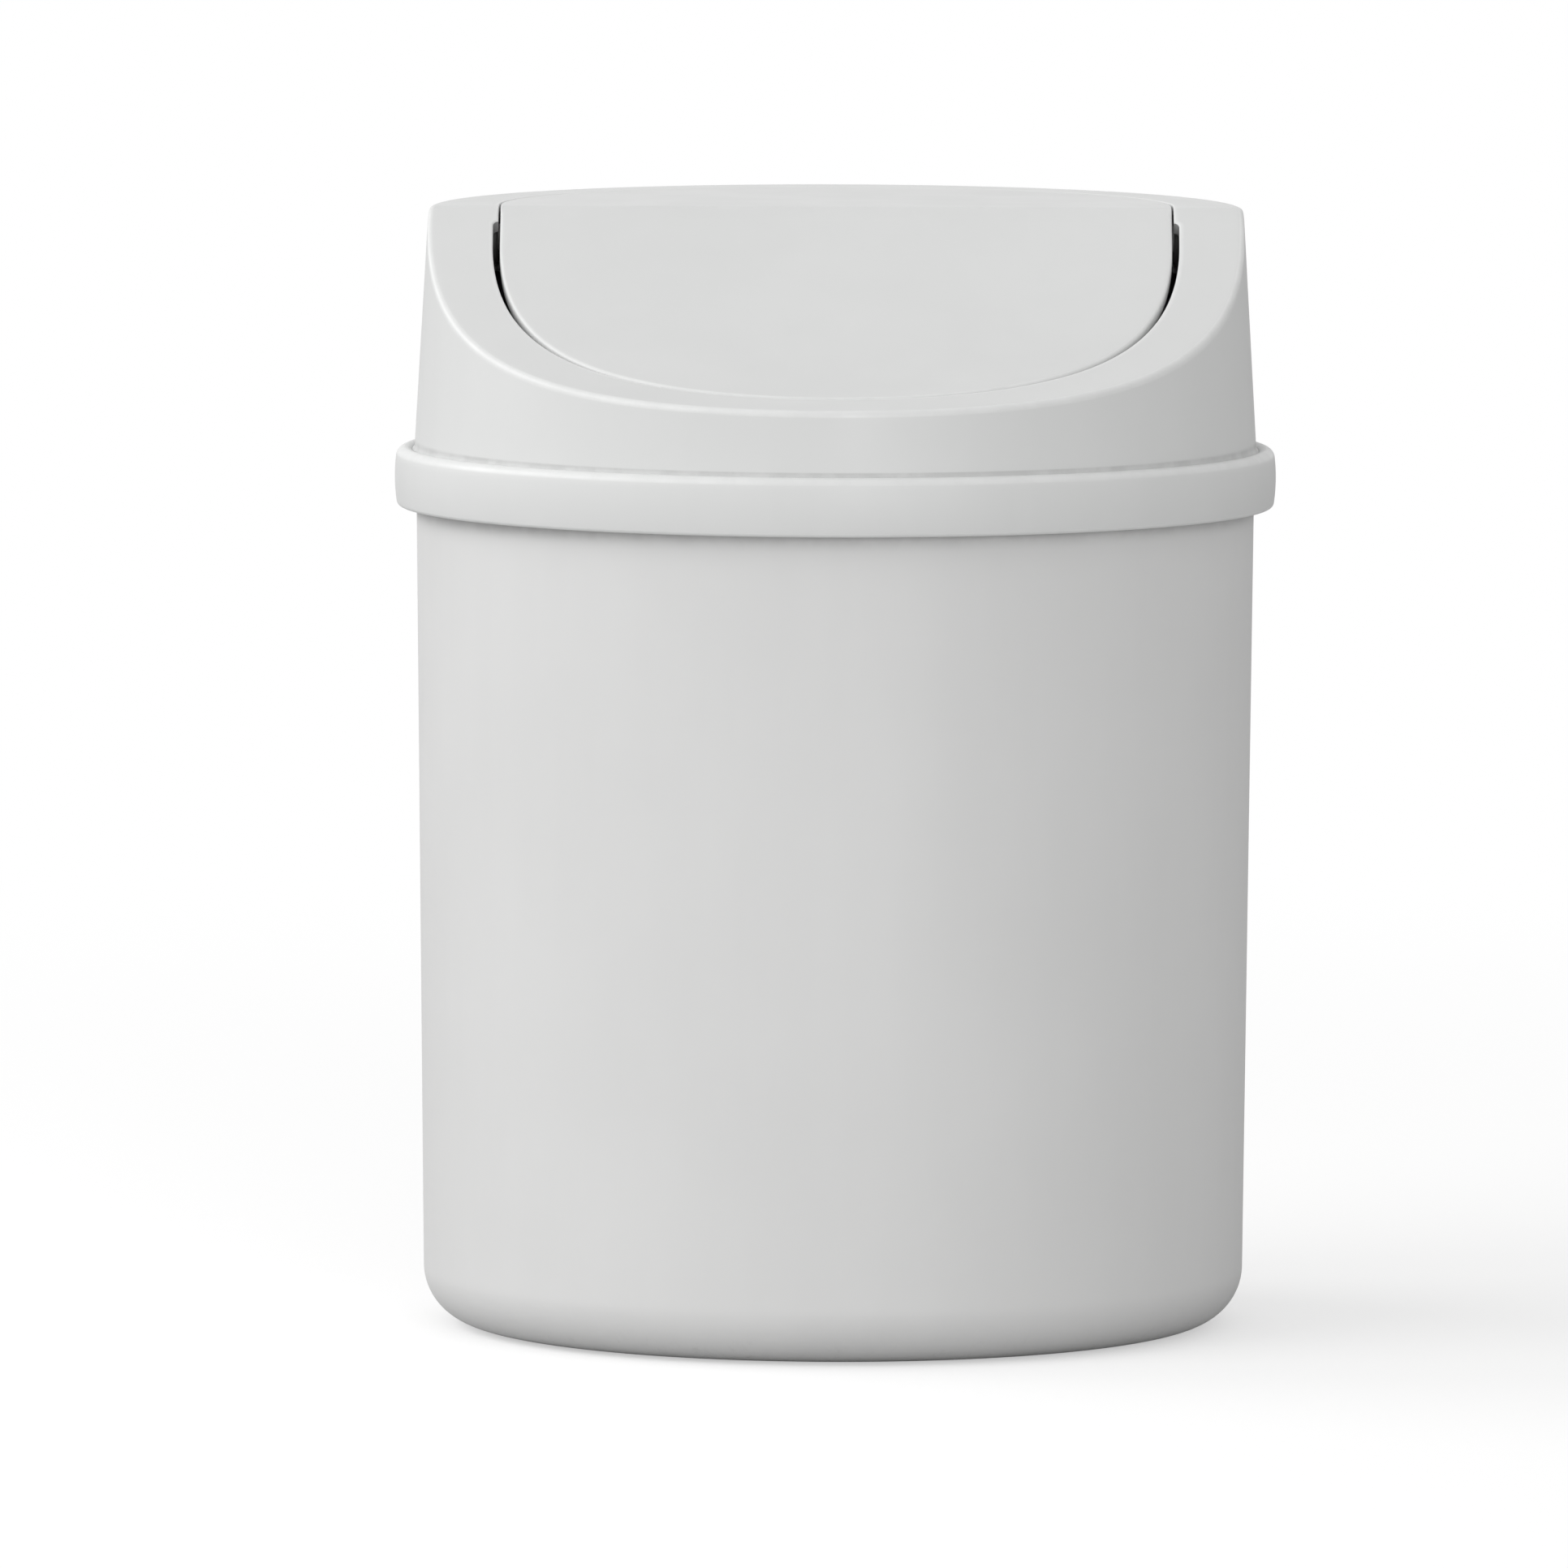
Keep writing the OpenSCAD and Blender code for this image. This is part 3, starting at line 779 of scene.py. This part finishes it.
ledge_turns = [math.radians(turn) for turn in spread(12.3, 167.7, 1.8) + [167.7]]
ledge_section = [
    (-LEDGE_W + 0.2, LEDGE_BOTTOM), (-LEDGE_W, LEDGE_BOTTOM + 0.2),
    (-LEDGE_W, LEDGE_TOP - 0.2), (-LEDGE_W + 0.2, LEDGE_TOP), (REAR_GAP, LEDGE_TOP),
    (REAR_GAP, ROOT_Z), (REAR_GAP + LEDGE_ROOT, ROOT_Z), (REAR_GAP + LEDGE_ROOT, LEDGE_BOTTOM),
]
first = start_chain(bm, ledge_turns, ledge_ring(*ledge_section[0]))
last = carry(bm, first, [ledge_ring(*place) for place in ledge_section[1:]])
bmesh.ops.bridge_loops(bm, edges=first + last)
bmesh.ops.holes_fill(bm, edges=[edge for edge in bm.edges if edge.is_boundary], sides=8)


# %% Shapes drawn round the pivot
CHEEK_R = 4.0
TOE_R = 5.4
TOE_W = 2.2


def to_box(turn, low_y, high_y, low_z, high_z):
    """How far a ray from the pivot runs inside a box that holds the pivot."""
    across, up = math.cos(turn), math.sin(turn)
    reach = []
    if abs(across) > 1e-9:
        reach.append((high_y if across > 0 else low_y) / across)
    if abs(up) > 1e-9:
        reach.append((high_z if up > 0 else low_z) / up)
    return min(reach)


def round_pivot(x, radius_of, shrink=0.0):
    """A ring about the pivot line, at a place x along it."""
    def ring(turn):
        radius = radius_of(turn) - shrink
        return Vector((
            x, PIVOT_Y + radius * math.cos(turn), PIVOT_Z + radius * math.sin(turn),
        )) * MM
    return ring


pivot_turns = [math.radians(turn) for turn in spread(-180, 180, 3)]


def mirrored(bm, first_face):
    """Adds the other hand of everything made since first_face."""
    bm.faces.ensure_lookup_table()
    faces = bm.faces[first_face:]
    verts = list({vert for face in faces for vert in face.verts})
    edges = list({edge for face in faces for edge in face.edges})
    bmesh.ops.mirror(bm, geom=verts + edges + faces, axis="X", merge_dist=0)


def block(bm, low, high, soft=0.3):
    """A block between two corners, in millimetres, with softened edges."""
    verts = bmesh.ops.create_cube(bm, size=1)["verts"]
    size = Vector(high) - Vector(low)
    bmesh.ops.scale(bm, vec=size * MM, verts=verts)
    bmesh.ops.translate(bm, vec=(Vector(low) + size / 2) * MM, verts=verts)
    edges = list({edge for vert in verts for edge in vert.link_edges})
    bmesh.ops.bevel(
        bm, geom=edges, offset=soft * MM, affect="EDGES", segments=2, profile=0.5,
        material=-1, clamp_overlap=True,
    )


# %% Cheeks, ribs and stops
CHEEK_X = FLAP_HALF + 0.4
CHEEK_T = 3.6
EAR_T = 3.0
BORE_R = 2.06
RIB_HALF = 0.8
RIB_H = 5.5
OPEN_DEG = 75
STOP_GAP = 0.05
STOP_Y = PIVOT_Y + TOE_R * math.sin(math.radians(OPEN_DEG)) + STOP_GAP
stop_back = STOP_Y + TOE_W - PIVOT_Y
root_up = ROOT_Z - PIVOT_Z


def cheek_outline(turn):
    return max(
        CHEEK_R,
        to_box(turn, -CHEEK_R, CHEEK_R, 0, root_up),
        to_box(turn, 0, stop_back, -CHEEK_R, root_up),
    )


before = len(bm.faces)
near_x, far_x = CHEEK_X, CHEEK_X + CHEEK_T
bore = constant(BORE_R)
# The cheeks get deep painted shade, so they stay dark where they show through the slits.
first = start_rim(bm, pivot_turns, round_pivot(near_x, bore, -0.2))
rim = carry(bm, first, [
    round_pivot(near_x + 0.2, bore), round_pivot(far_x - 0.2, bore),
    round_pivot(far_x, bore, -0.2), round_pivot(far_x, cheek_outline, 0.3),
    round_pivot(far_x - 0.3, cheek_outline), round_pivot(near_x + 0.3, cheek_outline),
    round_pivot(near_x, cheek_outline, 0.3),
], DEEP_PAINTED_SHADE)
bmesh.ops.bridge_loops(bm, edges=first + rim)
block(
    bm, (far_x - 0.3, PIVOT_Y - RIB_HALF, DECK_Z - DECK_T - RIB_H),
    (DECK_R - 0.9, PIVOT_Y + RIB_HALF, ROOT_Z),
)
block(bm, (FLAP_HALF - EAR_T, STOP_Y, PIVOT_Z - TOE_R), (far_x, STOP_Y + TOE_W, LEDGE_TOP))
mirrored(bm, before)
finish_piece(bm, "cover_shell", "cover", "lid_cover", cover_plastic)

# %% [markdown]
# ## The flap
# The flap is a thin plate that follows the same top line as the cover, so the lid reads as
# one surface when it is shut. Its edge is carried round like the cover's. Its
# two faces are then closed by bridging the right half of a rim to the left half, which
# gives strips that run straight across, and such strips lie exactly on the scoop.

# %% Carry the rim round the flap's edge
def flap_ring(inset, drop, soft=0.0):
    """A ring in from the flap's edge; soft adds that share of the edge's softness."""
    return on_top(lambda turn: outline(turn) - inset - soft * flap_soft(turn), drop)


def close_across(bm, edges):
    """Bridges the right half of a rim to its left half with straight strips."""
    layer = turn_layer(bm)
    right = [edge for edge in edges if all(math.cos(vert[layer]) > 0 for vert in edge.verts)]
    left = [edge for edge in edges if all(math.cos(vert[layer]) < 0 for vert in edge.verts)]
    bmesh.ops.bridge_loops(bm, edges=right + left)


bm = bmesh.new()
first = start_rim(bm, lid_turns, flap_ring(1.6, 0, soft=1.0))
rim = carry(bm, first, [flap_ring(0.4, 0, soft=1.0), flap_ring(0, 0, soft=1.0)])
# The flap's rounded edge gets a painted highlight and a smoother skin.
rim = carry(bm, rim, rounded(
    flap_ring(0, 0, soft=1.0), flap_ring(0, 0), flap_ring(0, flap_soft), 5,
) + [flap_ring(0, flap_soft)], PAINTED_HIGHLIGHT_AND_RUB)
rim = carry(bm, rim, [
    flap_ring(0, FLAP_T - 0.2), flap_ring(0.06, FLAP_T - 0.06), flap_ring(0.2, FLAP_T),
    flap_ring(1.0, FLAP_T),
])
close_across(bm, first)
close_across(bm, rim)
print("flap plate:", len(bm.faces), "faces")

# %% [markdown]
# Under the plate hang an ear on each side with the pivot stub and the toe that stops the
# swing, a beam between the ears, and a pocket near the rear edge for the steel strip, with
# a small boss at each end for the cap's studs.

# %% Ears, stubs, beam and pocket
STUB_R = 2.0
STUB_L = 3.6
BEAM_HALF = 0.8
BEAM_DOWN = 1.0
ear_in = FLAP_HALF - EAR_T


def ear_outline(turn):
    return max(
        CHEEK_R,
        to_box(turn, -CHEEK_R, CHEEK_R, 0, root_up - 0.1),
        to_box(turn, -TOE_W, 0, -TOE_R, 0),
    )


before = len(bm.faces)
stub = constant(STUB_R)
first = start_rim(bm, pivot_turns, round_pivot(ear_in, ear_outline, 0.3))
rim = carry(bm, first, [
    round_pivot(ear_in + 0.3, ear_outline), round_pivot(FLAP_HALF - 0.3, ear_outline),
    round_pivot(FLAP_HALF, ear_outline, 0.3), round_pivot(FLAP_HALF, stub, -0.15),
    round_pivot(FLAP_HALF + 0.15, stub), round_pivot(FLAP_HALF + STUB_L - 0.3, stub),
    round_pivot(FLAP_HALF + STUB_L - 0.1, stub, 0.1), round_pivot(FLAP_HALF + STUB_L, stub, 0.35),
])
bmesh.ops.contextual_create(bm, geom=first)
bmesh.ops.contextual_create(bm, geom=rim)

BOSS_X = 25.75
BOSS_R = 2.65
STUD_BORE_R = 1.25
STRIP_Y = 31.0
POCKET_Z = PIVOT_Z - 0.1
POCKET_L = 46.2
POCKET_W = 10.2
POCKET_WALL = 1.4


def about_boss(radius, z):
    return lambda turn: Vector((
        BOSS_X + radius * math.cos(turn), STRIP_Y + radius * math.sin(turn), z,
    )) * MM


boss_turns = [math.radians(turn) for turn in spread(-180, 180, 7.5)]
first = start_rim(bm, boss_turns, about_boss(STUD_BORE_R, POCKET_Z + 0.1))
rim = carry(bm, first, [
    about_boss(STUD_BORE_R + 0.1, POCKET_Z), about_boss(BOSS_R, POCKET_Z),
    about_boss(BOSS_R, ROOT_Z), about_boss(STUD_BORE_R, ROOT_Z),
])
bmesh.ops.bridge_loops(bm, edges=first + rim)
mirrored(bm, before)

block(
    bm, (-ear_in - 0.1, PIVOT_Y - BEAM_HALF, PIVOT_Z - BEAM_DOWN),
    (ear_in + 0.1, PIVOT_Y + BEAM_HALF, ROOT_Z - 0.1),
)

# %% The pocket, a cup that opens downwards
POCKET_DEPTH = 3.1
pocket = bmesh.ops.create_cube(bm, size=1)["verts"]
pocket_size = Vector((POCKET_L + 2 * POCKET_WALL, POCKET_W + 2 * POCKET_WALL, ROOT_Z - POCKET_Z))
bmesh.ops.scale(bm, vec=pocket_size * MM, verts=pocket)
bmesh.ops.translate(
    bm, vec=Vector((0, STRIP_Y, POCKET_Z + pocket_size.z / 2)) * MM, verts=pocket,
)
under = min(
    {face for vert in pocket for face in vert.link_faces},
    key=lambda face: face.calc_center_median().z,
)
bmesh.ops.inset_region(bm, faces=[under], thickness=POCKET_WALL * MM, use_even_offset=True)
deeper = bmesh.ops.extrude_discrete_faces(bm, faces=[under])["faces"][0]
bmesh.ops.translate(bm, vec=(0, 0, POCKET_DEPTH * MM), verts=deeper.verts)
finish_piece(bm, "flap_shell", "flap", "swing_flap", flap_plastic)

# %% [markdown]
# ## The steel strip and its cap
# The strip is a plain sheared bar with its burrs taken off, so it is a block with a small
# bevel. The cap is a thin plate with a round lobe at each end and two studs that press
# into the bosses. Its outline is again a ring about its middle.

# %% The steel strip
STRIP_HALF_L = 23.0
STRIP_HALF_W = 5.0
STRIP_T = 3.0

bm = bmesh.new()
block(
    bm, (-STRIP_HALF_L, STRIP_Y - STRIP_HALF_W, POCKET_Z),
    (STRIP_HALF_L, STRIP_Y + STRIP_HALF_W, POCKET_Z + STRIP_T), soft=0.25,
)
finish_piece(bm, "steel_strip", "flap", "counterweight", strip_steel)

# %% The cap
CAP_T = 1.2
CAP_HALF_L = POCKET_L / 2 + POCKET_WALL
CAP_HALF_W = POCKET_W / 2 + POCKET_WALL
STUD_R = 1.2


def cap_outline(turn, shrink=0.0):
    """The plate's outline: a rectangle with a lobe at each end."""
    across, up = abs(math.cos(turn)), abs(math.sin(turn))
    plate = min(
        (CAP_HALF_L - shrink) / max(across, 1e-9), (CAP_HALF_W - shrink) / max(up, 1e-9),
    )
    lobe_r = BOSS_R - shrink
    inside = lobe_r ** 2 - (BOSS_X * up) ** 2
    lobe = BOSS_X * across + math.sqrt(inside) if inside >= 0 else 0
    return max(plate, lobe)


def cap_ring(shrink, z):
    def ring(turn):
        radius = cap_outline(turn, shrink)
        return Vector((
            radius * math.cos(turn), STRIP_Y + radius * math.sin(turn), z,
        )) * MM
    return ring


corner_deg = math.degrees(math.atan2(CAP_HALF_W, CAP_HALF_L))
lobe_deg = math.degrees(math.asin(BOSS_R / BOSS_X))
quarter = (
    spread(0.0, lobe_deg, 0.45) + [lobe_deg, lobe_deg + 0.1] + spread(lobe_deg + 1.5, corner_deg, 2)
    + [corner_deg] + spread(corner_deg + 5, 88, 8)
)
half = quarter + [180 - turn for turn in reversed(quarter)]
cap_turns = [math.radians(turn) for turn in half[:-1] + [turn + 180 for turn in half[:-1]]]

bm = bmesh.new()
plate_low = POCKET_Z - CAP_T
first = start_rim(bm, cap_turns, cap_ring(0.3, plate_low))
rim = carry(bm, first, [
    cap_ring(0.1, plate_low + 0.1), cap_ring(0.0, plate_low + 0.3), cap_ring(0.0, POCKET_Z),
])
bmesh.ops.contextual_create(bm, geom=first)
bmesh.ops.contextual_create(bm, geom=rim)
before = len(bm.faces)
first = start_rim(bm, boss_turns, about_boss(STUD_R, POCKET_Z - 0.4))
rim = carry(bm, first, [
    about_boss(STUD_R, POCKET_Z + 2.7), about_boss(STUD_R - 0.3, POCKET_Z + 2.99),
])
bmesh.ops.contextual_create(bm, geom=first)
bmesh.ops.contextual_create(bm, geom=rim)
mirrored(bm, before)
finish_piece(bm, "pocket_cap", "flap", "counterweight_cap", cap_plastic)

# %% [markdown]
# ## Floor and backdrop
# The picture has a plain white ground that shows no horizon. The floor is a very large
# plane that takes real light, so the bin throws a soft shadow and gets light back from
# below. To the camera it adds a little glow of its own, which lifts the lit part to white
# without any more light on the bin. The world is white to the camera too.

# %% Floor
FLOOR_HALF = 40.0
FLOOR_GREY = 0.55
FLOOR_GLOW = 0.50
bm = bmesh.new()
bmesh.ops.create_grid(bm, x_segments=1, y_segments=1, size=FLOOR_HALF)
floor_mesh = bpy.data.meshes.new("studio_floor")
bm.to_mesh(floor_mesh)
bm.free()
floor = bpy.data.objects.new("studio_floor", floor_mesh)
floor.location.z = -0.0002
scene.collection.objects.link(floor)
floor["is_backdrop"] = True

floor_material = bpy.data.materials.new("pale_floor")
floor_material.use_nodes = True
tree = floor_material.node_tree
tree.nodes.remove(tree.nodes["Principled BSDF"])
out = tree.nodes["Material Output"]
coords = add_node(tree, "ShaderNodeTexCoord").outputs["Object"]
distance = add_node(tree, "ShaderNodeVectorMath", {0: coords}, operation="LENGTH").outputs["Value"]
matte = add_node(tree, "ShaderNodeBsdfDiffuse", {"Color": shade((1, 1, 1), FLOOR_GREY)})
glow = add_node(tree, "ShaderNodeEmission", {"Color": (1, 1, 1, 1), "Strength": FLOOR_GLOW})
lit = add_node(tree, "ShaderNodeAddShader", {
    0: matte.outputs["BSDF"], 1: glow.outputs["Emission"],
})
white = add_node(tree, "ShaderNodeEmission", {"Color": (1, 1, 1, 1), "Strength": 1.0})
far = remap(tree, distance, 0.3, 0.7, 0.0, 1.0)
ground = add_node(tree, "ShaderNodeMixShader", {
    0: far, 1: lit.outputs["Shader"], 2: white.outputs["Emission"],
})
path = add_node(tree, "ShaderNodeLightPath")
seen = add_node(tree, "ShaderNodeMixShader", {
    0: path.outputs["Is Camera Ray"], 1: matte.outputs["BSDF"], 2: ground.outputs["Shader"],
})
tree.links.new(seen.outputs["Shader"], out.inputs["Surface"])
floor_mesh.materials.append(floor_material)

# %% World
WORLD_LIGHT = 0.575
world = bpy.data.worlds.new("studio_world")
scene.world = world
world.use_nodes = True
tree = world.node_tree
path = add_node(tree, "ShaderNodeLightPath")
mirror_ray = add_node(tree, "ShaderNodeMath", {
    0: path.outputs["Is Glossy Ray"], 1: path.outputs["Is Transmission Ray"],
}, operation="MAXIMUM")
seen = add_node(tree, "ShaderNodeMath", {
    0: path.outputs["Is Camera Ray"], 1: mirror_ray.outputs["Value"],
}, operation="MAXIMUM")
dim = tree.nodes["Background"]
dim.inputs["Color"].default_value = (1, 1, 1, 1)
dim.inputs["Strength"].default_value = WORLD_LIGHT
bright = add_node(tree, "ShaderNodeBackground", {"Color": (1, 1, 1, 1), "Strength": 1.0})
mixed = add_node(tree, "ShaderNodeMixShader", {
    0: seen.outputs["Value"], 1: dim.outputs["Background"], 2: bright.outputs["Background"],
})
tree.links.new(mixed.outputs["Shader"], tree.nodes["World Output"].inputs["Surface"])

# %% [markdown]
# ## Light
# The left side of the bin is the brightest and the right side falls off to a darker grey.
# So a large soft light stands to the front left and above, a second large one stands to the
# left and a little behind, and a smaller one fills from low in front.

# %% Lamps
AIM = Vector((0, 0, 0.09))


def area_light(name, place, size, power):
    """A round soft lamp that points at the middle of the bin."""
    data = bpy.data.lights.new(name, "AREA")
    data.shape = "DISK"
    data.size = size
    data.energy = power
    lamp = bpy.data.objects.new(name, data)
    lamp.location = place
    lamp.rotation_euler = (AIM - Vector(place)).to_track_quat("-Z", "Y").to_euler()
    scene.collection.objects.link(lamp)


area_light("key_left", (-1.9, -1.2, 1.5), 2.2, 23.8)
area_light("front_fill", (0.5, -2.6, 0.6), 1.2, 16.9)
area_light("side_left", (-2.3, 0.8, 1.4), 1.8, 23.0)

# %% Measure the model
new_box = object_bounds()
for label, box in (("solids", cad_box), ("visual model", new_box)):
    print(label, [round(side / MM, 2) for side in box[1] - box[0]], "mm")
